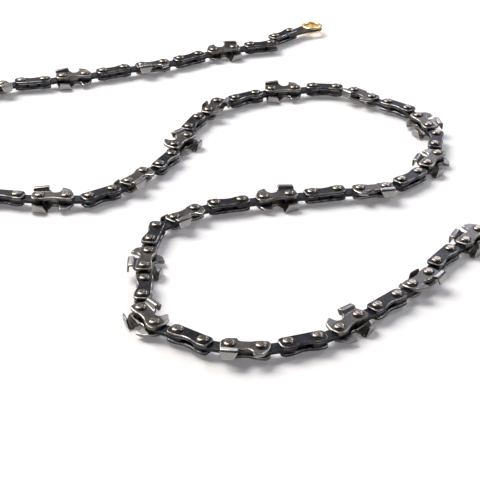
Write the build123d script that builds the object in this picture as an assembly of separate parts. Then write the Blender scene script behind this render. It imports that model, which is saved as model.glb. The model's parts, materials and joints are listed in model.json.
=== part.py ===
from build123d import *

import os
from math import cos, radians, tan

# Hand-pulled saw chain lying on its side, rivet axes upright, in the loose folds of a laid-out chain.
# Outer links alternate tie straps and two-way cutters. Each centre link joins two outer links, and is
# fused to the outer link behind it. Lengths are in millimetres, angles in degrees, +Z is up.

# Pitches between rivet axes
OUTER_PITCH = 9.95
CENTRE_PITCH = 8.70
EYE_PITCH = 14.5

# Plates
PLATE_THICKNESS = 1.25
CENTRE_THICKNESS = 1.40
PLATE_OVERHANG = 3.0
STRAP_WIDTH = 5.8
CORNER = 1.2
WAIST_DEPTH = 0.9
WAIST_LENGTH = 3.2
CENTRE_END_RADIUS = 3.0

# Rivets, drawn with six sides to keep the faces of so many few
RIVET_SIDES = 6
SHANK_DIAMETER = 3.2
HEAD_DIAMETER = 4.2
HEAD_HEIGHT = 0.7
PIN_CLEARANCE = 0.05

# Cutter: folded tooth over one rivet, round gullet, raker horn over the other rivet
TOOTH_REACH = 6.3
TOOTH_BACK_REACH = 5.55
TOOTH_BACK = 2.55
TOOTH_TIP = 3.2
TOOTH_FLARE = 1.45
TOOTH_WALL = 1.0
TOP_WIDTH = 3.4
CUT_ANGLE = 30
BACK_ANGLE = 12
RAKER_REACH = 6.0
RAKER_BACK_REACH = 4.7
RAKER_TIP = 1.8
RAKER_BACK = 1.3
GULLET_FLOOR = 1.95
GULLET_SHOULDER = 2.7
GULLET_WIDTH = 3.6

# Eye at each end, and the ring pressed into it
EYE_RADIUS = 5.0
EYE_FLARE_ANGLES = (112, 67, 22, -22, -67, -112)
EYELET_SIDES = 12
EYELET_BORE = 5.8
EYELET_WALL = 0.6
EYELET_DIAMETER = 10.2
EYELET_FLANGE = 0.8
EYELET_CLEARANCE = 0.05

# The lay of the chain: the way each outer link points, then the centre link after it, from +X towards +Y
FIRST_EYE = 40
LAST_EYE = 25
LAY = (
    # away from the first eye
    (-135, -105), (-165, -155), (-160, -145), (-145, -150),
    (-160, -160), (-155, -155), (-165, -155), (-170, -155),
    # round the wide bend on the left
    (-145, -135), (-125, -115), (-105, -95), (-85, -80),
    (-70, -60), (-50, -40), (-35, -25), (-10, -5),
    # back, and up through the middle
    (0, 0), (35, 50), (60, 45), (65, 85), (60, 90),
    (70, 60), (70, 25), (30, 35), (5, 15), (-5, -25),
    # round the tight bend on the right
    (-45, -40), (-40, -65), (-70, -75), (-100, -90), (-120, -120), (-135, -140),
    # along the middle to the left
    (-170, -175), (-165, -170), (-165, -165), (-165, -150), (-135, -135),
    # round the tight bend on the left
    (-100, -90), (-95, -85), (-90, -90), (-60, -30), (-35, -15),
    # off to the last eye
    (-5, 15), (20, 35), (50, 40), (45, 50), (50, 65),
    (55, 45), (55, 50), (45, 40), (35, 30),
)
END_STRAPS = 2

HALF_WIDTH = STRAP_WIDTH / 2
PLATE_INSIDE = CENTRE_THICKNESS / 2
PLATE_OUTSIDE = PLATE_INSIDE + PLATE_THICKNESS
RIDGE_HEIGHT = PLATE_OUTSIDE + TOOTH_FLARE
CENTRE_HALF_WIDTH = CENTRE_END_RADIUS * cos(radians(30))
PIN_HOLE_RADIUS = (SHANK_DIAMETER / 2 + PIN_CLEARANCE) / cos(radians(180 / RIVET_SIDES))
BARREL_RADIUS = EYELET_BORE / 2 + EYELET_WALL
EYE_HOLE_RADIUS = (BARREL_RADIUS + EYELET_CLEARANCE) / cos(radians(180 / EYELET_SIDES))


def slab(points, low, high):
    """A flat piece of the given outline between two heights."""
    return extrude(Pos(0, 0, low) * make_face(Polyline(*points, close=True)), high - low)


def prism(radius, sides, low, high):
    """An upright prism, by the radius to its corners."""
    return extrude(Pos(0, 0, low) * RegularPolygon(radius, sides), high - low)


def plain_side():
    """The right-hand edge of a strap or cutter plate, both ends included: waisted between the rivets."""
    flat = HALF_WIDTH - CORNER
    front = OUTER_PITCH + PLATE_OVERHANG
    waist = HALF_WIDTH - WAIST_DEPTH
    middle = OUTER_PITCH / 2
    return [
        (-PLATE_OVERHANG, flat),
        (-PLATE_OVERHANG, -flat),
        (-PLATE_OVERHANG + CORNER, -HALF_WIDTH),
        (middle - WAIST_LENGTH / 2, -waist),
        (middle + WAIST_LENGTH / 2, -waist),
        (front - CORNER, -HALF_WIDTH),
        (front, -flat),
        (front, flat),
    ]


def strap_plate():
    """Upper tie strap, straight on its left-hand edge."""
    straight_side = [
        (OUTER_PITCH + PLATE_OVERHANG - CORNER, HALF_WIDTH),
        (-PLATE_OVERHANG + CORNER, HALF_WIDTH),
    ]
    return slab(plain_side() + straight_side, PLATE_INSIDE, PLATE_OUTSIDE)


def tooth():
    """Tooth of an upper cutter plate: a flared wall folded in at the ridge and drawn in towards its back."""
    root = HALF_WIDTH - CORNER / 2
    lean = TOOTH_FLARE / (TOOTH_REACH - root)
    inner_reach = TOOTH_REACH - TOOTH_WALL
    free_edge = RIDGE_HEIGHT - TOP_WIDTH
    section = [
        (root, PLATE_INSIDE),
        (root, PLATE_OUTSIDE),
        (TOOTH_REACH, RIDGE_HEIGHT),
        (TOOTH_REACH, free_edge),
        (inner_reach, free_edge),
        (inner_reach, PLATE_INSIDE + lean * (inner_reach - root)),
    ]
    draw = TOOTH_REACH - TOOTH_BACK_REACH
    backwards = Vector(-TOOTH_BACK - TOOTH_TIP, -draw, -draw * lean)
    cutting_end = Plane.YZ.offset(TOOTH_TIP) * make_face(Polyline(*section, close=True))
    bar = extrude(cutting_end, backwards.length, dir=backwards.normalized())
    sides = [
        (-TOOTH_BACK, RIDGE_HEIGHT),
        (TOOTH_TIP, RIDGE_HEIGHT),
        (TOOTH_TIP - TOP_WIDTH * tan(radians(CUT_ANGLE)), free_edge),
        (-TOOTH_BACK + TOP_WIDTH * tan(radians(BACK_ANGLE)), free_edge),
    ]
    window = extrude(Plane.XZ.offset(-root) * make_face(Polyline(*sides, close=True)), -TOOTH_REACH)
    return bar & window


def cutter_plate():
    """Upper cutter plate with its tooth on the left at the rear rivet and its raker at the front rivet."""
    middle = OUTER_PITCH / 2
    working_side = [
        (OUTER_PITCH + RAKER_BACK, RAKER_BACK_REACH),
        (OUTER_PITCH - RAKER_TIP, RAKER_REACH),
        (middle + GULLET_WIDTH / 2, GULLET_SHOULDER),
        (middle, GULLET_FLOOR),
        (middle - GULLET_WIDTH / 2, GULLET_SHOULDER),
        (TOOTH_TIP, HALF_WIDTH),
        (-PLATE_OVERHANG + CORNER, HALF_WIDTH),
    ]
    return slab(plain_side() + working_side, PLATE_INSIDE, PLATE_OUTSIDE) + tooth()


def rivet():
    """Rivet with a low head on each side."""
    pin = prism(SHANK_DIAMETER / 2, RIVET_SIDES, -PLATE_OUTSIDE, PLATE_OUTSIDE)
    rim = Pos(0, 0, PLATE_OUTSIDE) * RegularPolygon(HEAD_DIAMETER / 2, RIVET_SIDES)
    head = Solid.make_loft([rim.wire(), Vertex(0, 0, PLATE_OUTSIDE + HEAD_HEIGHT)], True)
    return pin + head + Rot(180, 0, 0) * head


def riveted(plate, lower_plate):
    """Outer link: two plates on two rivets, with the rear rivet on the Z axis."""
    return plate + lower_plate + rivet() + Pos(OUTER_PITCH, 0, 0) * rivet()


def turned_round(plate):
    """The same plate with its ends changed over."""
    return Pos(OUTER_PITCH, 0, 0) * Rot(0, 0, 180) * plate


def centre_link():
    """Plain plate from the rivet that it is fused to, at the Z axis, to the rivet that it turns on."""
    shoulder = CENTRE_END_RADIUS / 2
    outline = [
        (-CENTRE_END_RADIUS, 0),
        (-shoulder, -CENTRE_HALF_WIDTH),
        (CENTRE_PITCH + shoulder, -CENTRE_HALF_WIDTH),
        (CENTRE_PITCH + CENTRE_END_RADIUS, 0),
        (CENTRE_PITCH + shoulder, CENTRE_HALF_WIDTH),
        (-shoulder, CENTRE_HALF_WIDTH),
    ]
    body = slab(outline, -PLATE_INSIDE, PLATE_INSIDE)
    hole = prism(PIN_HOLE_RADIUS, RIVET_SIDES, -PLATE_INSIDE, PLATE_INSIDE)
    return body - Pos(CENTRE_PITCH, 0, 0) * hole


def end_plate():
    """Last plate of the chain, from the rivet that it turns on, at the Z axis, flaring to the eye."""
    shoulder = CENTRE_END_RADIUS / 2
    eye = [Vector(EYE_RADIUS, 0).rotate(Axis.Z, a) + Vector(EYE_PITCH, 0) for a in EYE_FLARE_ANGLES]
    outline = [
        (shoulder, CENTRE_HALF_WIDTH),
        *[(v.X, v.Y) for v in eye],
        (shoulder, -CENTRE_HALF_WIDTH),
        (-shoulder, -CENTRE_HALF_WIDTH),
        (-CENTRE_END_RADIUS, 0),
        (-shoulder, CENTRE_HALF_WIDTH),
    ]
    body = slab(outline, -PLATE_INSIDE, PLATE_INSIDE)
    pin_hole = prism(PIN_HOLE_RADIUS, RIVET_SIDES, -PLATE_INSIDE, PLATE_INSIDE)
    eye_hole = prism(EYE_HOLE_RADIUS, EYELET_SIDES, -PLATE_INSIDE, PLATE_INSIDE)
    return body - pin_hole - Pos(EYE_PITCH, 0, 0) * eye_hole


def eyelet():
    """Flanged ring through the eye of an end plate, in the end plate's own frame."""
    top = PLATE_INSIDE + EYELET_FLANGE
    flange = prism(EYELET_DIAMETER / 2, EYELET_SIDES, PLATE_INSIDE, top)
    barrel = prism(BARREL_RADIUS, EYELET_SIDES, -PLATE_INSIDE, PLATE_INSIDE)
    ring = flange + barrel + Pos(0, 0, -PLATE_INSIDE - top) * flange
    return Pos(EYE_PITCH, 0, 0) * (ring - Cylinder(EYELET_BORE / 2, 2 * top))


def outer_links():
    """The strap link, and the cutter links in the order in which they follow each other."""
    left_plate = cutter_plate()
    right_plate = mirror(left_plate, Plane.XZ)
    turns = [right_plate, turned_round(right_plate), turned_round(left_plate), left_plate]
    strap = strap_plate()
    strap_link = riveted(strap, mirror(strap, Plane.XY))
    return strap_link, [riveted(plate, Rot(180, 0, 0) * plate) for plate in turns]


def chain():
    """Every piece of the chain by name, walked along the lay from the first rivet at the origin."""
    strap_link, cutters = outer_links()
    joiner, last_plate, ring = centre_link(), end_plate(), eyelet()
    start = Pos(0, 0, RIDGE_HEIGHT) * Rot(0, 0, FIRST_EYE)
    pieces = {"end_plate_a": start * last_plate, "eyelet_a": start * ring}
    here = Vector(0, 0, RIDGE_HEIGHT)
    cut = 0
    for number, (heading, next_heading) in enumerate(LAY, 1):
        is_end = number <= END_STRAPS or number > len(LAY) - END_STRAPS
        is_strap = is_end or (number - END_STRAPS) % 2 == 0
        link = strap_link if is_strap else cutters[cut % len(cutters)]
        cut += 0 if is_strap else 1
        front = Vector(OUTER_PITCH, 0).rotate(Axis.Z, heading)
        placed = Pos(here) * Rot(0, 0, heading) * link
        here += front
        if number < len(LAY):
            placed += Pos(here) * Rot(0, 0, next_heading) * joiner
            here += Vector(CENTRE_PITCH, 0).rotate(Axis.Z, next_heading)
        pieces[f"{'strap' if is_strap else 'cutter'}_link_{number:02d}"] = placed
    finish = Pos(here) * Rot(0, 0, LAST_EYE)
    pieces["end_plate_b"] = finish * last_plate
    pieces["eyelet_b"] = finish * ring
    return pieces


pieces = chain()
middle = Compound(children=[Compound(p.solids()) for p in pieces.values()]).bounding_box().center()
os.makedirs("parts", exist_ok=True)
for name, piece in pieces.items():
    export_step(Pos(-middle.X, -middle.Y, 0) * piece, f"parts/{name}.step")
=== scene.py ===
"""Hand-pulled saw chain lying in loose folds on a white table.

Every piece is modelled in its link's own frame, in millimetres: the rear rivet stands on the Z axis, the
front rivet lies along +X, and the chain's middle plane is Z = 0. It is then set on the rivets that the frame
gives.
"""

import json
import logging
import math
from dataclasses import dataclass
from enum import Enum
from typing import Iterable

import bmesh
import bpy
from mathutils import Matrix, Vector


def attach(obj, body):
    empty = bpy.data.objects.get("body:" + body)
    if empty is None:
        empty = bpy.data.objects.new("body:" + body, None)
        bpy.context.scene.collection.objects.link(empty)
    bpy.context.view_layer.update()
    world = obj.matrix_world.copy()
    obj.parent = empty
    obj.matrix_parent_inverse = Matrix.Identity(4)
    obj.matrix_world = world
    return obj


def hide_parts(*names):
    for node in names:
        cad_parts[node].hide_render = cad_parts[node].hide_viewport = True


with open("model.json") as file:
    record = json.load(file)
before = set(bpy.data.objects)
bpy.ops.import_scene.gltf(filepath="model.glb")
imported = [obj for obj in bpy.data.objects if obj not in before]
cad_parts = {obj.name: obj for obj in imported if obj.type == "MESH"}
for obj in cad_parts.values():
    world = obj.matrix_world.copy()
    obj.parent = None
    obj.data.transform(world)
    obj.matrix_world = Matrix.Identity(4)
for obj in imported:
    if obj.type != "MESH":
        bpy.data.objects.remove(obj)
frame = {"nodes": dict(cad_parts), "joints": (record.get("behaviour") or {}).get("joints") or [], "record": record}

log = logging.getLogger("saw_chain")

MM = 0.001
# Faces of the rounded rims. The finishes lighten them, partly as rubbed wear and partly as a painted highlight
# along the edges
EDGE_MASK = "worn_edge"
TOOTH_MASK = "tooth_face"
RIM_SEGMENTS = 3

# Tolerances: two in millimetres, an angle in radians, and one in the frame's metres
LEVEL = 1e-6
WELD = 1e-4
RIM_ANGLE = 1.0
APEX_TOLERANCE = 1e-5


# Shared sizes


@dataclass(frozen=True)
class Stack:
    """How the plates lie on each other, counted from the middle plane outwards, in millimetres."""

    centre: float = 1.40
    plate: float = 1.25
    flare: float = 1.45
    head_apex: float = 0.70

    @property
    def inside(self) -> float:
        """Inner face of an outer plate, which is also the face of a centre link."""
        return self.centre / 2

    @property
    def outside(self) -> float:
        """Outer face of an outer plate."""
        return self.inside + self.plate


@dataclass(frozen=True)
class Pitch:
    """Distances between rivet axes, in millimetres."""

    outer: float = 9.95
    centre: float = 8.70


STACK = Stack()
PITCH = Pitch()


# Stamped blanks


@dataclass(frozen=True)
class Corner:
    """One corner of a blank's outline, with how far back along its edges the rounding starts."""

    x: float
    y: float
    rounding: float = 0.0
    steps: int = 4


@dataclass(frozen=True)
class Hole:
    """A round hole through a blank."""

    x: float
    radius: float
    sides: int


def arc(x: float, y: float, radius: float, start: float, end: float, steps: int) -> list[Corner]:
    """Lay corners along an arc.

    Args:
        x: Centre of the arc.
        y: Centre of the arc.
        radius: Radius of the arc.
        start: First angle, in degrees.
        end: Last angle, in degrees.
        steps: Number of chords.

    Returns:
        The corners, both ends included.
    """
    angles = [math.radians(start + (end - start) * step / steps) for step in range(steps + 1)]
    return [Corner(x + radius * math.cos(a), y + radius * math.sin(a)) for a in angles]


def stamped(
    corners: list[Corner], low: float, high: float, edge_break: float, holes: Iterable[Hole] = ()
) -> bmesh.types.BMesh:
    """Stamp a plate: an outline with rounded corners and holes, given its thickness and broken edges.

    Args:
        corners: The outline, anticlockwise.
        low: Height of the lower face.
        high: Height of the upper face.
        edge_break: Width of the rounding along every rim.
        holes: Round holes on the plate's centre line.

    Returns:
        A new mesh whose rounded rims carry the edge mask.
    """
    bm = bmesh.new()
    edge_mask = bm.faces.layers.float.new(EDGE_MASK)
    bm.faces.layers.float.new(TOOTH_MASK)
    verts = [bm.verts.new((c.x, c.y, low)) for c in corners]
    bm.faces.new(verts)
    for vert, corner in zip(verts, corners):
        if corner.rounding > 0:
            bmesh.ops.bevel(
                bm, geom=[vert], offset=corner.rounding, offset_type="OFFSET", segments=corner.steps,
                profile=0.5, affect="VERTICES", material=-1,
            )
    holes = list(holes)
    if holes:
        bmesh.ops.delete(bm, geom=bm.faces[:], context="FACES_ONLY")
        for hole in holes:
            bmesh.ops.create_circle(
                bm, cap_ends=False, radius=hole.radius, segments=hole.sides,
                matrix=Matrix.Translation((hole.x, 0, low)),
            )
        bmesh.ops.triangle_fill(bm, use_beauty=True, edges=bm.edges[:], normal=(0, 0, 1))
    lower = bm.faces[:]
    raised = bmesh.ops.extrude_face_region(bm, geom=lower, use_keep_orig=True)["geom"]
    bmesh.ops.translate(
        bm, verts=[g for g in raised if isinstance(g, bmesh.types.BMVert)], vec=(0, 0, high - low)
    )
    bmesh.ops.recalc_face_normals(bm, faces=bm.faces[:])
    rims = [e for e in bm.edges if is_rim(e)]
    rounded = bmesh.ops.bevel(
        bm, geom=rims, offset=edge_break, offset_type="OFFSET", segments=RIM_SEGMENTS,
        profile=0.5, affect="EDGES", clamp_overlap=False, material=-1,
    )["faces"]
    for face in rounded:
        face[edge_mask] = 1.0
        face.smooth = True
    return bm


def is_rim(edge: bmesh.types.BMEdge) -> bool:
    """Tell an edge between a flat face and a side wall from all others."""
    level = abs(edge.verts[0].co.z - edge.verts[1].co.z) < LEVEL
    return level and edge.calc_face_angle(0.0) > RIM_ANGLE


def copied(bm: bmesh.types.BMesh, matrix: Matrix) -> bmesh.types.BMesh:
    """Copy a mesh to another place, turning its faces back outwards if the matrix mirrors it."""
    twin = bm.copy()
    bmesh.ops.transform(twin, matrix=matrix, verts=twin.verts[:])
    if matrix.determinant() < 0:
        bmesh.ops.reverse_faces(twin, faces=twin.faces[:])
    return twin


def joined(meshes: list[bmesh.types.BMesh], name: str) -> bpy.types.Mesh:
    """Gather several meshes into one.

    Args:
        meshes: The parts, which are freed.
        name: Name of the mesh data.

    Returns:
        The mesh that holds them all.
    """
    whole = bmesh.new()
    for part in meshes:
        data = bpy.data.meshes.new(name)
        part.to_mesh(data)
        part.free()
        whole.from_mesh(data)
        bpy.data.meshes.remove(data)
    mesh = bpy.data.meshes.new(name)
    whole.to_mesh(mesh)
    whole.free()
    return mesh


def turned(profile: list[tuple[float, float]], steps: int, closed: bool) -> bmesh.types.BMesh:
    """Turn a profile about the Z axis.

    Args:
        profile: Radius and height of each point in order.
        steps: Number of facets around.
        closed: True where the last point joins the first one, as on a ring.

    Returns:
        A closed, smooth mesh.
    """
    bm = bmesh.new()
    bm.faces.layers.float.new(EDGE_MASK)
    bm.faces.layers.float.new(TOOTH_MASK)
    verts = [bm.verts.new((radius, 0, height)) for radius, height in profile]
    pairs = list(zip(verts, verts[1:]))
    if closed:
        pairs.append((verts[-1], verts[0]))
    edges = [bm.edges.new(pair) for pair in pairs]
    bmesh.ops.spin(
        bm, geom=verts + edges, cent=(0, 0, 0), axis=(0, 0, 1), angle=2 * math.pi,
        steps=steps, use_merge=True,
    )
    bmesh.ops.remove_doubles(bm, verts=bm.verts[:], dist=WELD)
    bmesh.ops.recalc_face_normals(bm, faces=bm.faces[:])
    for face in bm.faces:
        face.smooth = True
    return bm


# Plates of the outer links


@dataclass(frozen=True)
class StrapPlate:
    """Tie strap: straight on its left-hand edge, waisted on its right-hand edge."""

    overhang: float = 3.0
    half_width: float = 2.9
    end_rounding: float = 1.75
    waist_depth: float = 0.85
    waist_start: float = 3.6
    waist_flat: float = 1.5
    waist_rounding: float = 1.5
    edge_break: float = 0.34

    def plain_side(self) -> list[Corner]:
        """Lay out the rear end, the waisted right-hand edge and the front end."""
        front = PITCH.outer + self.overhang
        middle = PITCH.outer / 2
        waist = self.half_width - self.waist_depth
        return [
            Corner(-self.overhang, -self.half_width, self.end_rounding),
            Corner(middle - self.waist_start, -self.half_width, self.waist_rounding),
            Corner(middle - self.waist_flat, -waist, self.waist_rounding / 2),
            Corner(middle + self.waist_flat, -waist, self.waist_rounding / 2),
            Corner(middle + self.waist_start, -self.half_width, self.waist_rounding),
            Corner(front, -self.half_width, self.end_rounding),
        ]

    def outline(self) -> list[Corner]:
        """Close the plain side with the straight left-hand edge."""
        return self.plain_side() + [
            Corner(PITCH.outer + self.overhang, self.half_width, self.end_rounding),
            Corner(-self.overhang, self.half_width, self.end_rounding),
        ]

    def build(self) -> bmesh.types.BMesh:
        """Stamp the upper strap."""
        return stamped(self.outline(), STACK.inside, STACK.outside, self.edge_break)


@dataclass(frozen=True)
class Bending:
    """The section that a flat blank takes when it is bent: stretches of a length, each with its turn."""

    root: float
    stretches: tuple[tuple[float, float], ...]
    wall: float
    cuts: int = 6

    def cut_lines(self) -> list[float]:
        """Place the lines across the blank that let it bend."""
        lines, start = [], self.root
        for length, turn in self.stretches:
            if turn:
                lines += [start + length * cut / self.cuts for cut in range(self.cuts + 1)]
            start += length
        return lines

    def is_bend(self, along: float) -> bool:
        """Tell whether a place along the blank lies in a bend."""
        start = self.root
        for length, turn in self.stretches:
            if start < along < start + length:
                return bool(turn)
            start += length
        return False

    def carried(self, place: Vector) -> Vector:
        """Carry a point of the flat blank to its place on the bent plate.

        Args:
            place: A point of the blank past the root; the blank's upper face is the plate's outer face.

        Returns:
            The same point once the blank is bent.
        """
        left = place.y - self.root
        heading, y, z = 0.0, self.root, STACK.outside
        for length, turn in self.stretches:
            run = min(left, length)
            if run <= 0:
                break
            if turn:
                bend = turn * run / length
                radius = length / turn
                y += radius * (math.sin(heading + bend) - math.sin(heading))
                z -= radius * (math.cos(heading + bend) - math.cos(heading))
                heading += bend
            else:
                y += run * math.cos(heading)
                z += run * math.sin(heading)
            left -= run
        thinned = min((place.y - self.root) / self.stretches[0][0], 1.0)
        gauge = 1.0 + thinned * (self.wall / STACK.plate - 1.0)
        depth = (STACK.outside - place.z) * gauge
        return Vector((place.x, y + depth * math.sin(heading), z - depth * math.cos(heading)))


@dataclass(frozen=True)
class ToothFold:
    """A cutter's tooth: out of the plate on a slope, level along a land, then folded in at the ridge."""

    reach: float = 6.2
    back_reach: float = 5.45
    flare_angle: float = 45.0
    land_fall: float = 7.0
    top_lean: float = 6.0
    root_radius: float = 0.6
    shoulder_radius: float = 0.85
    ridge_radius: float = 0.9
    land: float = 0.8
    wall: float = 0.78
    top_width: float = 3.4

    def bending(self) -> Bending:
        """Work out the stretches that put the ridge at its reach and the shoulder at its height."""
        lean, fall, out = (math.radians(a) for a in (self.flare_angle, self.land_fall, self.top_lean))
        radii = self.root_radius + self.shoulder_radius
        slope = (STACK.flare - radii * (1 - math.cos(lean))) / math.sin(lean)
        over_land = self.shoulder_radius * math.sin(fall) + self.land * math.cos(fall)
        over_ridge = self.ridge_radius * (math.cos(out) - math.sin(fall))
        root = self.reach - radii * math.sin(lean) - slope * math.cos(lean) - over_land - over_ridge
        fold = math.pi / 2 - fall - out
        drop = self.land * math.sin(fall) + self.ridge_radius * (math.cos(fall) - math.sin(out))
        return Bending(
            root,
            (
                (self.root_radius * lean, lean),
                (slope, 0.0),
                (self.shoulder_radius * (lean + fall), -lean - fall),
                (self.land, 0.0),
                (self.ridge_radius * fold, -fold),
                ((self.top_width - drop) / math.cos(out), 0.0),
            ),
            self.wall,
        )

    def drawn_in(self, blank: Vector, bent: Vector, behind: float) -> Vector:
        """Draw a bent point in and down, the more the further it lies behind the cutting edge.

        Args:
            blank: The point on the flat blank.
            bent: The same point once the blank is bent.
            behind: How far back it lies, from 0 at the cutting edge to 1 at the tooth's back.

        Returns:
            The point on the tapered tooth.
        """
        bending = self.bending()
        rise, slope = bending.stretches[0][0], bending.stretches[1][0]
        up_the_wall = min(max((blank.y - bending.root - rise) / slope, 0.0), 1.0)
        draw = (self.reach - self.back_reach) * behind * up_the_wall
        fall = STACK.flare / (self.reach - bending.root)
        return bent - Vector((0.0, draw, draw * fall))


@dataclass(frozen=True)
class RakerBend:
    """A cutter's raker, bent out a little over its root."""

    root: float = 2.7
    radius: float = 3.0
    angle: float = 7.0
    length: float = 4.0

    def bending(self) -> Bending:
        """Work out the bend and the straight horn past it."""
        turn = math.radians(self.angle)
        return Bending(self.root, ((self.radius * turn, turn), (self.length, 0.0)), STACK.plate, cuts=4)


@dataclass(frozen=True)
class CutterPlate:
    """Cutter: a tooth folded over one rivet, a round gullet, and a raker horn over the other rivet."""

    strap: StrapPlate = StrapPlate()
    tooth: ToothFold = ToothFold()
    raker: RakerBend = RakerBend()
    tooth_back: float = -2.55
    tooth_tip: float = 3.2
    cut_angle: float = 28.0
    back_angle: float = 14.0
    gullet_x: float = 5.75
    gullet_y: float = 4.35
    gullet_radius: float = 2.0
    shoulder_x: float = 3.45
    shoulder_y: float = 3.3
    raker_tip: float = 1.8
    raker_reach: float = 5.93
    raker_back: float = 1.3
    raker_back_reach: float = 4.7
    edge_break: float = 0.34
    tip_rounding: float = 0.25
    tip_steps: int = 2
    gullet_sweep: tuple[float, float] = (10.0, -150.0)
    gullet_steps: int = 12
    shoulder_rounding: float = 0.5
    nose_y: float = 1.2
    nose_rounding: float = 0.9
    heel_y: float = 1.6
    heel_rounding: float = 0.6
    # Share of the tooth colour on the slope, land and top: the steps between them are painted light and shade,
    # brightest on the rounded land as a painted highlight
    bareness: tuple[float, float, float] = (0.5, 0.8, 0.65)
    raker_bareness: float = 0.3
    tooth_edge_wear: float = 0.3

    def working_side(self) -> list[Corner]:
        """Lay out the raker, the gullet and the flat blank of the tooth, from front to rear."""
        fold = self.tooth.bending()
        lengths = [length for length, _ in fold.stretches]
        ridge = fold.root + sum(lengths[:-1])
        free_edge = ridge + lengths[-1]
        width = lengths[-1]
        front = self.tooth_tip - width * math.tan(math.radians(self.cut_angle))
        back = self.tooth_back + width * math.tan(math.radians(self.back_angle))
        tip = (self.tip_rounding, self.tip_steps)
        return [
            Corner(PITCH.outer + self.strap.overhang, self.nose_y, self.nose_rounding),
            Corner(PITCH.outer + self.raker_back, self.raker_back_reach, self.nose_rounding),
            Corner(PITCH.outer - self.raker_tip, self.raker_reach, *tip),
            *arc(self.gullet_x, self.gullet_y, self.gullet_radius, *self.gullet_sweep, self.gullet_steps),
            Corner(self.shoulder_x, self.shoulder_y, self.shoulder_rounding),
            Corner(self.tooth_tip, ridge, *tip),
            Corner(front, free_edge, *tip),
            Corner(back, free_edge, *tip),
            Corner(self.tooth_back, ridge, *tip),
            Corner(self.tooth_back, self.strap.half_width, self.tip_rounding),
            Corner(-self.strap.overhang, self.heel_y, self.heel_rounding),
        ]

    def brightness(self, along: float) -> float:
        """Tell how light the tooth's colour is along its blank: least on the slope, most on the land. The tooth's
        bright steel is its own; the steps from slope to land to top are painted light and shade, with a painted
        highlight on the land.
        """
        fold = self.tooth.bending()
        ends = [fold.root + sum(length for length, _ in fold.stretches[:count]) for count in (2, 4)]
        slope, land, top = self.bareness
        return slope if along < ends[0] else land if along < ends[1] else top

    def build(self) -> bmesh.types.BMesh:
        """Stamp the blank with its tooth at the rear on the left, then fold the tooth and bend the raker."""
        outline = self.strap.plain_side() + self.working_side()
        bm = stamped(outline, STACK.inside, STACK.outside, self.edge_break)
        edge_mask, tooth_mask = (bm.faces.layers.float[name] for name in (EDGE_MASK, TOOTH_MASK))
        tooth, raker = self.tooth.bending(), self.raker.bending()
        for line in tooth.cut_lines() + raker.cut_lines():
            bmesh.ops.bisect_plane(
                bm, geom=bm.verts[:] + bm.edges[:] + bm.faces[:], plane_co=(0, line, 0), plane_no=(0, 1, 0)
            )
        for face in bm.faces:
            centre = face.calc_center_median()
            on_tooth = centre.x < self.gullet_x
            bending = tooth if on_tooth else raker
            if centre.y > bending.root:
                outer = centre.z > STACK.outside - self.edge_break
                if on_tooth:
                    face[tooth_mask] = self.brightness(centre.y) if outer else 0.0
                    # Part of the rims' lighter colour, rubbed wear and painted highlight, stays on the tooth's
                    # outer face
                    face[edge_mask] *= self.tooth_edge_wear if outer else 0.0
                else:
                    face[tooth_mask] = self.raker_bareness
                face.smooth = face.smooth or bending.is_bend(centre.y)
        for vert in bm.verts:
            bending = tooth if vert.co.x < self.gullet_x else raker
            if vert.co.y > bending.root:
                blank = vert.co.copy()
                vert.co = bending.carried(blank)
                if bending is tooth:
                    behind = (self.tooth_tip - blank.x) / (self.tooth_tip - self.tooth_back)
                    vert.co = self.tooth.drawn_in(blank, vert.co, behind)
        bmesh.ops.recalc_face_normals(bm, faces=bm.faces[:])
        return bm


class CutterTurn(Enum):
    """Which way a cutter faces: the side and the end of its upper plate that carry the tooth."""

    RIGHT_REAR = 0
    LEFT_FRONT = 1
    RIGHT_FRONT = 2
    LEFT_REAR = 3

    def matrix(self) -> Matrix:
        """Bring the left, rear cutter plate to this turn."""
        mirrored = Matrix.Scale(-1, 4, (0, 1, 0))
        ends_changed = Matrix.Translation((PITCH.outer, 0, 0)) @ Matrix.Rotation(math.pi, 4, "Z")
        return {
            CutterTurn.RIGHT_REAR: mirrored,
            CutterTurn.LEFT_FRONT: ends_changed @ mirrored,
            CutterTurn.RIGHT_FRONT: ends_changed,
            CutterTurn.LEFT_REAR: Matrix.Identity(4),
        }[self]


# Rivets, centre links and ends


@dataclass(frozen=True)
class Rivet:
    """Rivet with a rounded head on each side, its crown dished by the spinning tool."""

    shank: float = 1.6
    head: float = 2.05
    crown: float = 0.95
    height: float = 0.85
    dish: float = 0.05
    fullness: float = 2.1
    crown_rings: int = 3
    rings: int = 6
    facets: int = 28

    def head_profile(self) -> list[tuple[float, float]]:
        """Run from the axis over the dish, the crown and the rounded rim, down to the plate."""
        profile = []
        for ring in range(self.crown_rings):
            share = ring / self.crown_rings
            profile.append((self.crown * share, STACK.outside + self.height - self.dish * (1 - share**2)))
        for ring in range(self.rings + 1):
            angle = math.pi / 2 * ring / self.rings
            out, up = math.sin(angle), math.cos(angle)
            swell = (out**self.fullness + up**self.fullness) ** (-1 / self.fullness)
            radius = self.crown + (self.head - self.crown) * out * swell
            profile.append((radius, STACK.outside + self.height * up * swell))
        return profile

    def build(self) -> bmesh.types.BMesh:
        """Turn the rivet."""
        upper = self.head_profile() + [(self.shank, STACK.outside)]
        lower = [(radius, -height) for radius, height in reversed(upper)]
        return turned(upper + lower, self.facets, closed=False)


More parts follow.
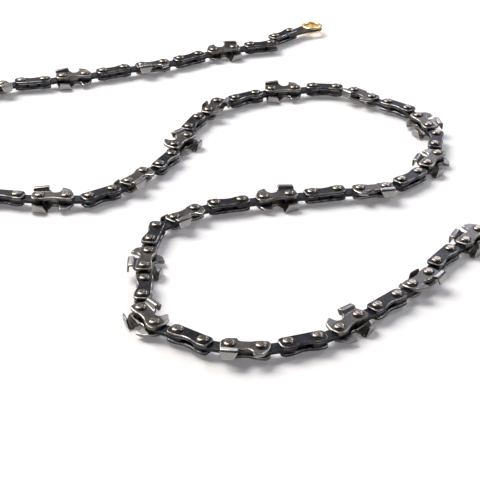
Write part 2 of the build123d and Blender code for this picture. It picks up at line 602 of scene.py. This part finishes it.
@dataclass(frozen=True)
class CentreLink:
    """Plain plate between the outer links, waisted a little, turning on the rivet at its front."""

    overhang: float = 2.9
    half_width: float = 2.6
    waist: float = 2.25
    hole: float = 1.65
    hole_sides: int = 16
    end_rounding: float = 1.9
    end_steps: int = 5
    waist_span: tuple[float, float] = (0.3, 0.7)
    waist_rounding: float = 0.8
    waist_steps: int = 3
    edge_break: float = 0.2

    def build(self) -> bmesh.types.BMesh:
        """Stamp the link, with its rear rivet on the Z axis."""
        end = (-self.half_width, self.end_rounding, self.end_steps)
        waist = (-self.waist, self.waist_rounding, self.waist_steps)
        side = [
            Corner(-self.overhang, *end),
            *(Corner(PITCH.centre * share, *waist) for share in self.waist_span),
            Corner(PITCH.centre + self.overhang, *end),
        ]
        other = [Corner(c.x, -c.y, c.rounding, c.steps) for c in reversed(side)]
        holes = [Hole(x, self.hole, self.hole_sides) for x in (0.0, PITCH.centre)]
        return stamped(side + other, -STACK.inside, STACK.inside, self.edge_break, holes)


@dataclass(frozen=True)
class EndPlate:
    """Last plate of the chain, flaring from its rivet hole to the eye."""

    overhang: float = 2.9
    half_width: float = 2.6
    neck: float = 5.5
    eye_radius: float = 4.4
    eye_hole: float = 3.55
    rivet_hole: float = 1.65
    flare_angle: float = 112.0
    end_rounding: float = 1.9
    neck_rounding: float = 2.4
    neck_swell: float = 0.15
    corner_steps: int = 5
    eye_steps: int = 24
    rivet_sides: int = 16
    eye_sides: int = 32
    edge_break: float = 0.25

    def build(self, pitch: float) -> bmesh.types.BMesh:
        """Stamp the plate, with its rivet on the Z axis and its eye along +X.

        Args:
            pitch: Distance from the rivet to the middle of the eye.

        Returns:
            The plate with both holes.
        """
        right = [
            Corner(-self.overhang, -self.half_width, self.end_rounding, self.corner_steps),
            Corner(self.neck, -self.half_width - self.neck_swell, self.neck_rounding, self.corner_steps),
        ]
        left = [Corner(c.x, -c.y, c.rounding, c.steps) for c in reversed(right)]
        eye = arc(pitch, 0, self.eye_radius, -self.flare_angle, self.flare_angle, self.eye_steps)
        holes = [Hole(0.0, self.rivet_hole, self.rivet_sides), Hole(pitch, self.eye_hole, self.eye_sides)]
        return stamped(right + eye + left, -STACK.inside, STACK.inside, self.edge_break, holes)


@dataclass(frozen=True)
class Eyelet:
    """Ring rolled over both faces of the end plate."""

    bore: float = 2.92
    barrel: float = 3.5
    flange: float = 5.02
    height: float = 0.8
    lip: float = 0.06
    seat: float = 0.01
    facets: int = 48
    roll: tuple[tuple[float, float], ...] = (
        (0.0, 0.10), (0.06, 0.60), (0.22, 0.90), (0.45, 1.0), (0.70, 0.86), (0.90, 0.55), (1.0, 0.15),
    )

    def build(self, pitch: float) -> bmesh.types.BMesh:
        """Turn the ring about the middle of the eye.

        Args:
            pitch: Distance from the end plate's rivet to the middle of the eye.

        Returns:
            The ring in the end plate's frame.
        """
        face, spread = STACK.inside, self.flange - self.bore
        upper = [(self.bore + spread * out, face + self.height * up) for out, up in self.roll]
        upper += [(self.flange - self.lip, face + self.seat), (self.barrel, face + self.seat)]
        lower = [(radius, -height) for radius, height in reversed(upper)]
        bm = turned(upper + lower, self.facets, closed=True)
        bmesh.ops.translate(bm, verts=bm.verts[:], vec=(pitch, 0, 0))
        return bm


# Finishes


class NodeGroups:
    """Effects that several finishes share, each built once, with noise in features per metre."""

    WEAR_SCALE, WEAR_DETAIL = 320.0, 4.0
    MOTTLE_SCALE, MOTTLE_DETAIL = 260.0, 4.0
    SCUFF_SCALE, SCUFF_DETAIL = 1300.0, 5.0
    GRAIN_DETAIL = 2.0
    WEAR_BAND, WEAR_LEFT = (0.38, 0.62), (0.12, 1.0)
    MOTTLE_BAND = (0.32, 0.68)
    SCUFF_BAND = (0.56, 0.74)
    FULL = (0.0, 1.0)

    @staticmethod
    def surface_noise(
        tree: bpy.types.NodeTree, scale: bpy.types.NodeSocket | float, detail: float
    ) -> bpy.types.Node:
        """Add a noise on object coordinates.

        Args:
            tree: Tree that gets the nodes.
            scale: Features per metre, as a number or a socket.
            detail: Octaves of the noise.

        Returns:
            The noise node.
        """
        place = tree.nodes.new("ShaderNodeTexCoord")
        noise = tree.nodes.new("ShaderNodeTexNoise")
        noise.inputs["Detail"].default_value = detail
        tree.links.new(place.outputs["Object"], noise.inputs["Vector"])
        if isinstance(scale, bpy.types.NodeSocket):
            tree.links.new(scale, noise.inputs["Scale"])
        else:
            noise.inputs["Scale"].default_value = scale
        return noise

    @staticmethod
    def remap(
        tree: bpy.types.NodeTree,
        value: bpy.types.NodeSocket,
        source: tuple[float, float],
        target: tuple[float, float],
    ) -> bpy.types.NodeSocket:
        """Map a value from one range to another, clamped."""
        node = tree.nodes.new("ShaderNodeMapRange")
        node.inputs["From Min"].default_value, node.inputs["From Max"].default_value = source
        node.inputs["To Min"].default_value, node.inputs["To Max"].default_value = target
        tree.links.new(value, node.inputs["Value"])
        return node.outputs["Result"]

    @staticmethod
    def sums(
        tree: bpy.types.NodeTree,
        operation: str,
        first: bpy.types.NodeSocket,
        second: bpy.types.NodeSocket | float,
    ) -> bpy.types.NodeSocket:
        """Join two values by an operation."""
        node = tree.nodes.new("ShaderNodeMath")
        node.operation = operation
        tree.links.new(first, node.inputs[0])
        if isinstance(second, bpy.types.NodeSocket):
            tree.links.new(second, node.inputs[1])
        else:
            node.inputs[1].default_value = second
        return node.outputs[0]

    @classmethod
    def rubbed_edge(cls) -> bpy.types.NodeTree:
        """Build the mask of the rims' lighter colour, broken up along their length: rubbed wear and a painted
        highlight.
        """
        found = bpy.data.node_groups.get("rubbed_edge")
        if found:
            return found
        group = bpy.data.node_groups.new("rubbed_edge", "ShaderNodeTree")
        group.interface.new_socket("Amount", in_out="INPUT", socket_type="NodeSocketFloat")
        group.interface.new_socket("Mask", in_out="OUTPUT", socket_type="NodeSocketFloat")
        entry = group.nodes.new("NodeGroupInput")
        result = group.nodes.new("NodeGroupOutput")
        edge = group.nodes.new("ShaderNodeAttribute")
        edge.attribute_name = EDGE_MASK
        noise = cls.surface_noise(group, cls.WEAR_SCALE, cls.WEAR_DETAIL)
        broken = cls.remap(group, noise.outputs["Fac"], cls.WEAR_BAND, cls.WEAR_LEFT)
        rubbed = cls.sums(group, "MULTIPLY", edge.outputs["Fac"], broken)
        group.links.new(cls.sums(group, "MULTIPLY", rubbed, entry.outputs["Amount"]), result.inputs["Mask"])
        return group

    @classmethod
    def tumbled_grain(cls) -> bpy.types.NodeTree:
        """Build the mottling and fine grain of plates that were tumbled together."""
        found = bpy.data.node_groups.get("tumbled_grain")
        if found:
            return found
        group = bpy.data.node_groups.new("tumbled_grain", "ShaderNodeTree")
        group.interface.new_socket("Grain", in_out="INPUT", socket_type="NodeSocketFloat")
        for name in ("Mottle", "Scuff", "Height"):
            group.interface.new_socket(name, in_out="OUTPUT", socket_type="NodeSocketFloat")
        entry = group.nodes.new("NodeGroupInput")
        result = group.nodes.new("NodeGroupOutput")
        mottle = cls.surface_noise(group, cls.MOTTLE_SCALE, cls.MOTTLE_DETAIL)
        scuff = cls.surface_noise(group, cls.SCUFF_SCALE, cls.SCUFF_DETAIL)
        fine = cls.surface_noise(group, entry.outputs["Grain"], cls.GRAIN_DETAIL)
        mottled = cls.remap(group, mottle.outputs["Fac"], cls.MOTTLE_BAND, cls.FULL)
        scuffed = cls.remap(group, scuff.outputs["Fac"], cls.SCUFF_BAND, cls.FULL)
        group.links.new(mottled, result.inputs["Mottle"])
        group.links.new(scuffed, result.inputs["Scuff"])
        group.links.new(fine.outputs["Fac"], result.inputs["Height"])
        return group


@dataclass(frozen=True)
class MetalFinish:
    """A worked metal: its tone, lighter mottling, edges lightened by rubbed wear and a painted highlight and, on
    cutters, its brighter teeth, whose steps from zone to zone are painted light and shade.
    """

    name: str
    tone: tuple[float, float, float]
    mottled: tuple[float, float, float]
    edge: tuple[float, float, float]
    tooth: tuple[float, float, float] | None = None
    roughness: float = 0.4
    roughness_spread: float = 0.1
    edge_roughness: float = 0.25
    edge_amount: float = 1.0
    scuffs: float = 0.35
    grain: float = 5200.0
    bump: float = 0.12
    bump_depth: float = 0.05
    metallic: float = 1.0

    @staticmethod
    def blend(
        tree: bpy.types.NodeTree, mask: bpy.types.NodeSocket, first: object, second: object, colour: bool
    ) -> bpy.types.NodeSocket:
        """Mix two colours or two values by a mask.

        Args:
            tree: The material's tree.
            mask: Share of the second one.
            first: Socket, colour or number.
            second: Socket, colour or number.
            colour: True for colours, False for numbers.

        Returns:
            The mixed socket.
        """
        node = tree.nodes.new("ShaderNodeMix")
        node.data_type = "RGBA" if colour else "FLOAT"
        # The mix node's sockets share their names, so each is taken by its number
        ends = (node.inputs[6], node.inputs[7]) if colour else (node.inputs[2], node.inputs[3])
        tree.links.new(mask, node.inputs[0])
        for end, value in zip(ends, (first, second)):
            if isinstance(value, bpy.types.NodeSocket):
                tree.links.new(value, end)
            else:
                end.default_value = (*value, 1.0) if colour else value
        return node.outputs[2] if colour else node.outputs[0]

    def material(self) -> bpy.types.Material:
        """Build the finish as a node material."""
        made = bpy.data.materials.new(self.name)
        made.use_nodes = True
        tree = made.node_tree
        shader = tree.nodes["Principled BSDF"]
        grain = tree.nodes.new("ShaderNodeGroup")
        grain.node_tree = NodeGroups.tumbled_grain()
        grain.inputs["Grain"].default_value = self.grain
        rubbed = tree.nodes.new("ShaderNodeGroup")
        rubbed.node_tree = NodeGroups.rubbed_edge()
        rubbed.inputs["Amount"].default_value = self.edge_amount
        colour = self.blend(tree, grain.outputs["Mottle"], self.tone, self.mottled, True)
        roughness = self.blend(
            tree, grain.outputs["Mottle"], self.roughness, self.roughness + self.roughness_spread, False
        )
        if self.tooth:
            tooth = tree.nodes.new("ShaderNodeAttribute")
            tooth.attribute_name = TOOTH_MASK
            colour = self.blend(tree, tooth.outputs["Fac"], colour, self.tooth, True)
            roughness = self.blend(tree, tooth.outputs["Fac"], roughness, self.edge_roughness, False)
        # The rims' lighter colour is rubbed wear and a painted highlight; the scuffs are wear
        scuffs = NodeGroups.sums(tree, "MULTIPLY", grain.outputs["Scuff"], self.scuffs)
        worn = NodeGroups.sums(tree, "MAXIMUM", rubbed.outputs["Mask"], scuffs)
        colour = self.blend(tree, worn, colour, self.edge, True)
        roughness = self.blend(tree, worn, roughness, self.edge_roughness, False)
        bump = tree.nodes.new("ShaderNodeBump")
        bump.inputs["Strength"].default_value = self.bump
        bump.inputs["Distance"].default_value = self.bump_depth * MM
        tree.links.new(grain.outputs["Height"], bump.inputs["Height"])
        tree.links.new(colour, shader.inputs["Base Color"])
        tree.links.new(roughness, shader.inputs["Roughness"])
        tree.links.new(bump.outputs["Normal"], shader.inputs["Normal"])
        shader.inputs["Metallic"].default_value = self.metallic
        return made


# The edge colours light the rims: rubbed wear, and a painted highlight where the rounded edges catch the lamps
STRAP_STEEL = MetalFinish(
    "blued_strap_steel",
    tone=(0.0195, 0.019, 0.0225), mottled=(0.036, 0.0355, 0.042), edge=(0.74, 0.73, 0.72),
    roughness=0.32, roughness_spread=0.12, edge_amount=0.8, scuffs=0.08, bump=0.08,
)
# The tooth colour is the tooth's bright steel; its steps from zone to zone come from the tooth mask and are
# painted light and shade
CUTTER_STEEL = MetalFinish(
    "gunmetal_cutter_steel",
    tone=(0.084, 0.078, 0.072), mottled=(0.135, 0.125, 0.116), edge=(0.86, 0.83, 0.79),
    tooth=(0.42, 0.41, 0.405), roughness=0.32, roughness_spread=0.10, edge_roughness=0.30, edge_amount=0.9,
    scuffs=0.10, bump=0.05,
)
RIVET_STEEL = MetalFinish(
    "polished_rivet_steel",
    tone=(0.26, 0.228, 0.197), mottled=(0.31, 0.272, 0.236), edge=(0.7, 0.68, 0.65),
    roughness=0.25, roughness_spread=0.03, edge_amount=0.0, scuffs=0.03, bump=0.02,
)
CENTRE_STEEL = MetalFinish(
    "dark_centre_steel",
    tone=(0.024, 0.025, 0.030), mottled=(0.050, 0.051, 0.058), edge=(0.32, 0.32, 0.33),
    roughness=0.40, roughness_spread=0.12, edge_amount=0.35, scuffs=0.12,
)
END_STEEL = MetalFinish(
    "black_end_steel",
    tone=(0.050, 0.047, 0.048), mottled=(0.080, 0.074, 0.072), edge=(0.34, 0.33, 0.33),
    roughness=0.40, roughness_spread=0.12, edge_amount=0.3, scuffs=0.08,
)
EYELET_BRASS = MetalFinish(
    "polished_eyelet_brass",
    tone=(0.94, 0.66, 0.27), mottled=(0.98, 0.82, 0.50), edge=(0.96, 0.86, 0.64),
    roughness=0.27, roughness_spread=0.06, edge_amount=0.0, scuffs=0.06, bump=0.02,
)


# The chain on its rivets


class ChainLay:
    """Reads from the frame where every rivet stands."""

    def __init__(self) -> None:
        """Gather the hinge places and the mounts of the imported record."""
        self.hinges = {joint["name"]: Vector(joint["pos_m"]) for joint in frame["joints"]}
        self.mounts = {mount["name"]: Vector(mount["pos_m"]) for mount in frame["record"]["mounts"]}
        bodies = frame["record"]["behaviour"]["bodies"]
        self.links = {int(body[-2:]): nodes[0] for body, nodes in bodies.items() if body.startswith("link_")}

    @property
    def last(self) -> int:
        """Number of the last link."""
        return max(self.links)

    def rear(self, number: int) -> Vector:
        """Place of the rear rivet of a link, or of the last front rivet for the number after the last."""
        if number == 1:
            return self.hinges["eye_a_pivot"]
        if number > self.last:
            return self.hinges["eye_b_pivot"]
        return self.hinges[f"pivot_{number - 1:02d}_{number:02d}"]

    def front(self, number: int) -> Vector:
        """Place of the front rivet of a link, found by the apex of its head on the CAD node.

        Args:
            number: The link's number.

        Returns:
            A point on the rivet's axis, on the chain's middle plane.
        """
        rear = self.rear(number)
        apex = rear.z + (STACK.outside + STACK.head_apex) * MM
        points = [v.co for v in frame["nodes"][self.links[number]].data.vertices]
        heads = [p for p in points if abs(p.z - apex) < APEX_TOLERANCE]
        far = max(heads, key=lambda p: (p.xy - rear.xy).length)
        return Vector((far.x, far.y, rear.z))


def set_between(start: Vector, towards: Vector) -> Matrix:
    """Place a link's frame, in millimetres, at one point with +X towards another."""
    way = towards - start
    turn = Matrix.Rotation(math.atan2(way.y, way.x), 4, "Z")
    return Matrix.Translation(start) @ turn @ Matrix.Scale(MM, 4)


class SawChain:
    """Builds every piece of the chain and hands it to its body."""

    def __init__(self, lay: ChainLay) -> None:
        """Make the shared shapes and finishes.

        Args:
            lay: Where the rivets stand.
        """
        self.lay = lay
        self.finishes = {
            finish: finish.material()
            for finish in (STRAP_STEEL, CUTTER_STEEL, RIVET_STEEL, CENTRE_STEEL, END_STEEL, EYELET_BRASS)
        }
        self.strap_plates = self.strap_shape()
        self.cutter_plates = {turn: self.cutter_shape(turn) for turn in CutterTurn}
        self.rivets = self.rivet_shape()
        self.centre_link = joined([CentreLink().build()], "centre_link")

    @staticmethod
    def strap_shape() -> bpy.types.Mesh:
        """Upper and lower strap of one link."""
        upper = StrapPlate().build()
        return joined([copied(upper, Matrix.Scale(-1, 4, (0, 0, 1))), upper], "strap_plates")

    @staticmethod
    def cutter_shape(turn: CutterTurn) -> bpy.types.Mesh:
        """Upper cutter of one turn, and the same plate turned over below it."""
        plate = CutterPlate().build()
        upper = copied(plate, turn.matrix())
        lower = copied(upper, Matrix.Rotation(math.pi, 4, "X"))
        plate.free()
        return joined([upper, lower], f"cutter_plates_{turn.name.lower()}")

    @staticmethod
    def rivet_shape() -> bpy.types.Mesh:
        """Both rivets of one outer link."""
        rear = Rivet().build()
        return joined([copied(rear, Matrix.Translation((PITCH.outer, 0, 0))), rear], "rivets")

    def piece(
        self,
        name: str,
        shape: bpy.types.Mesh,
        place: Matrix,
        finish: MetalFinish,
        body: str,
        node: str,
    ) -> None:
        """Set one piece in its place, dress it and hand it to its body.

        Args:
            name: Name of the piece.
            shape: Shared shape, in millimetres.
            place: From the shape's frame to the part's frame.
            finish: Finish of the whole piece.
            body: Body that it rides on.
            node: CAD node that it stands for.
        """
        mesh = shape.copy()
        mesh.name = name
        mesh.transform(place)
        mesh.materials.append(self.finishes[finish])
        made = bpy.data.objects.new(name, mesh)
        bpy.context.scene.collection.objects.link(made)
        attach(made, body)
        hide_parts(node)
        log.info("%s rides on %s, %d faces", name, body, len(mesh.polygons))

    def outer_link(self, number: int, cutters_before: int) -> None:
        """Build the plates, rivets and following centre link of one outer link.

        Args:
            number: The link's number.
            cutters_before: Cutter links between it and the first end.
        """
        node, body = self.lay.links[number], f"link_{number:02d}"
        rear, front = self.lay.rear(number), self.lay.front(number)
        place = set_between(rear, front)
        name = f"{node}_plates"
        if node.startswith("strap"):
            self.piece(name, self.strap_plates, place, STRAP_STEEL, body, node)
        else:
            plates = self.cutter_plates[CutterTurn(cutters_before % len(CutterTurn))]
            self.piece(name, plates, place, CUTTER_STEEL, body, node)
        self.piece(f"{node}_rivets", self.rivets, place, RIVET_STEEL, body, node)
        if number < self.lay.last:
            onward = set_between(front, self.lay.rear(number + 1))
            name = f"centre_link_{number:02d}"
            self.piece(name, self.centre_link, onward, CENTRE_STEEL, body, node)

    def end(self, letter: str, pivot: Vector) -> None:
        """Build the end plate and eyelet of one end.

        Args:
            letter: Which end, a or b.
            pivot: Place of the rivet that the end turns on.
        """
        eye = self.lay.mounts[f"rope_eye_{letter}"]
        place = set_between(pivot, eye)
        pitch = (eye - pivot).length / MM
        plate = joined([EndPlate().build(pitch)], "end_plate")
        ring = joined([Eyelet().build(pitch)], "eyelet")
        body = f"end_{letter}"
        name = f"end_plate_{letter}"
        self.piece(f"{name}_flared", plate, place, END_STEEL, body, name)
        name = f"eyelet_{letter}"
        self.piece(f"{name}_rolled", ring, place, EYELET_BRASS, body, name)

    def build(self) -> None:
        """Walk the chain from the first end to the last."""
        self.end("a", self.lay.rear(1))
        cutters = 0
        for number in sorted(self.lay.links):
            self.outer_link(number, cutters)
            cutters += self.lay.links[number].startswith("cutter")
        self.end("b", self.lay.rear(self.lay.last + 1))


# Table, light and camera


@dataclass(frozen=True)
class Softbox:
    """A rectangular area lamp, aimed at the middle of the chain."""

    name: str
    place: tuple[float, float, float]
    width: float
    height: float
    watts: float
    tint: tuple[float, float, float]

    def hang(self) -> None:
        """Put the lamp in the scene."""
        data = bpy.data.lights.new(self.name, "AREA")
        data.shape = "RECTANGLE"
        data.size, data.size_y = self.width, self.height
        data.energy = self.watts
        data.color = self.tint
        lamp = bpy.data.objects.new(self.name, data)
        lamp.location = self.place
        lamp.rotation_euler = (-Vector(self.place)).to_track_quat("-Z", "Y").to_euler()
        bpy.context.scene.collection.objects.link(lamp)


@dataclass(frozen=True)
class Studio:
    """White table, soft lamps, a plain sky and the camera."""

    table_half: float = 9.0
    table_white: float = 0.97
    table_lift: float = 0.165
    table_lift_tint: tuple[float, float, float] = (0.97, 0.95, 1.0)
    table_roughness: float = 0.9
    sky_front: float = 0.03
    sky_back: float = 0.19
    sky_span: tuple[float, float] = (-0.6, 0.8)
    sky_tint: tuple[float, float, float] = (0.94, 0.93, 1.0)
    softboxes: tuple[Softbox, ...] = (
        Softbox("key_softbox", (-1.06, 0.94, 1.94), 1.60, 1.34, 54.0, (1.0, 0.97, 0.94)),
        Softbox("left_softbox", (-0.88, 0.43, 0.69), 0.50, 0.35, 2.9, (1.0, 0.93, 0.83)),
        Softbox("right_softbox", (0.67, 0.22, 0.84), 0.28, 0.28, 1.5, (0.95, 0.96, 1.0)),
        Softbox("right_back_softbox", (0.30, 0.88, 0.57), 0.34, 0.26, 1.45, (0.84, 0.86, 1.0)),
        Softbox("left_back_softbox", (-0.34, 1.17, 0.59), 0.30, 0.24, 0.55, (0.93, 0.96, 1.0)),
    )
    camera_place: tuple[float, float, float] = (0.00634, -0.49678, 0.24325)
    camera_azimuth: float = 0.41
    camera_elevation: float = 29.38
    focal_pixels: float = 1376.4
    frame_pixels: float = 480.0
    sensor: float = 36.0

    def table_material(self) -> bpy.types.Material:
        """White table that keeps the chain's shadow and shows white to the camera and in the metal."""
        made = bpy.data.materials.new("white_table")
        made.use_nodes = True
        tree = made.node_tree
        shader = tree.nodes["Principled BSDF"]
        shader.inputs["Base Color"].default_value = (self.table_white,) * 3 + (1.0,)
        shader.inputs["Roughness"].default_value = self.table_roughness
        shader.inputs["Specular IOR Level"].default_value = 0.0
        path = tree.nodes.new("ShaderNodeLightPath")
        seen = NodeGroups.sums(tree, "MAXIMUM", path.outputs["Is Camera Ray"], path.outputs["Is Glossy Ray"])
        seen = NodeGroups.sums(tree, "MAXIMUM", seen, path.outputs["Is Transmission Ray"])
        lift = NodeGroups.sums(tree, "MULTIPLY", seen, self.table_lift)
        shader.inputs["Emission Color"].default_value = (*self.table_lift_tint, 1.0)
        tree.links.new(lift, shader.inputs["Emission Strength"])
        return made

    def lay_table(self) -> None:
        """Put the table under the chain."""
        bm = bmesh.new()
        bmesh.ops.create_grid(bm, x_segments=1, y_segments=1, size=self.table_half)
        mesh = bpy.data.meshes.new("table")
        bm.to_mesh(mesh)
        bm.free()
        mesh.materials.append(self.table_material())
        table = bpy.data.objects.new("table", mesh)
        bpy.context.scene.collection.objects.link(table)

    def light(self) -> None:
        """Hang the softboxes under a plain sky that is darker on the camera's side."""
        world = bpy.data.worlds.new("studio_sky")
        bpy.context.scene.world = world
        world.use_nodes = True
        tree = world.node_tree
        way = tree.nodes.new("ShaderNodeTexCoord")
        split = tree.nodes.new("ShaderNodeSeparateXYZ")
        tree.links.new(way.outputs["Generated"], split.inputs["Vector"])
        level = NodeGroups.remap(tree, split.outputs["Y"], self.sky_span, (self.sky_front, self.sky_back))
        tree.nodes["Background"].inputs["Color"].default_value = (*self.sky_tint, 1.0)
        tree.links.new(level, tree.nodes["Background"].inputs["Strength"])
        for softbox in self.softboxes:
            softbox.hang()

    def aim(self) -> None:
        """Set the camera where the photograph was taken from."""
        data = bpy.data.cameras.new("camera")
        data.sensor_width = self.sensor
        data.lens = self.focal_pixels / self.frame_pixels * self.sensor
        camera = bpy.data.objects.new("camera", data)
        camera.location = self.camera_place
        tilt = math.radians(90 - self.camera_elevation)
        camera.rotation_euler = (tilt, 0.0, math.radians(self.camera_azimuth))
        bpy.context.scene.collection.objects.link(camera)
        bpy.context.scene.camera = camera

    def build(self) -> None:
        """Set the whole studio up."""
        bpy.context.scene.view_settings.view_transform = "Standard"
        self.lay_table()
        self.light()
        self.aim()


def main() -> None:
    """Build the chain and the studio."""
    logging.basicConfig(level=logging.INFO, format="%(name)s: %(message)s")
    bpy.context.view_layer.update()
    SawChain(ChainLay()).build()
    Studio().build()


if __name__ == "__main__":
    main()
